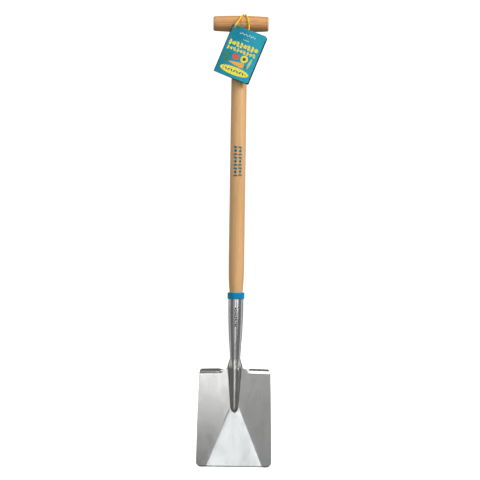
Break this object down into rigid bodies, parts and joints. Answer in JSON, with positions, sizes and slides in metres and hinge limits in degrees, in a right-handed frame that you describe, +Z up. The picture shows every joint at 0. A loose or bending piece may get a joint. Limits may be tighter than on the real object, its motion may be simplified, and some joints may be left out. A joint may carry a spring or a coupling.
{
  "type": "child's garden spade",
  "caption": "Upright T-handled digging spade: pressed steel blade with rolled treads and open-backed socket, round wooden shaft, barrel grip, blue collar and folded swing tag on a cord.",
  "frame": {"origin": "middle of the cutting edge", "axes": "+Z up along the shaft, +X to the right of someone facing the blade, -Y towards that person"},
  "size_m": [0.1198, 0.0474, 0.7227],
  "materials": {
    "steel": "satin stainless sheet, brushed along its length",
    "collar": "smooth blue moulded plastic",
    "shaft_wood": "pale ash, fine straight grain, thin satin lacquer",
    "grip_wood": "redder turned hardwood, satin lacquer",
    "fastener_steel": "bright zinc plated steel",
    "tag_card": "printed teal card with a light sheen",
    "elastic": "yellow braided elastic cord"
  },
  "bodies": {
    "spade": {"spade_head": "steel", "collar_ring": "collar", "shaft": "shaft_wood", "t_grip": "grip_wood", "grip_pin": "fastener_steel", "socket_screw": "fastener_steel", "tag_cord": "elastic", "cord_crimp": "fastener_steel"},
    "tag": {"tag_back": "tag_card"},
    "tag_cover": {"tag_front": "tag_card"}
  },
  "joints": [
    {"name": "tag_swing", "type": "hinge", "parent": "spade", "child": "tag", "pos_m": [-0.0076, -0.00555, 0.6972], "axis": [0, 1, 0], "range_deg": [-22, 30]},
    {"name": "tag_open", "type": "hinge", "parent": "tag", "child": "tag_cover", "pos_m": [-0.01035, -0.00555, 0.70379], "axis": [-0.3714, 0, -0.9285], "range_deg": [-12, 5], "stiffness_Nm_per_rad": 0.001}
  ]
}
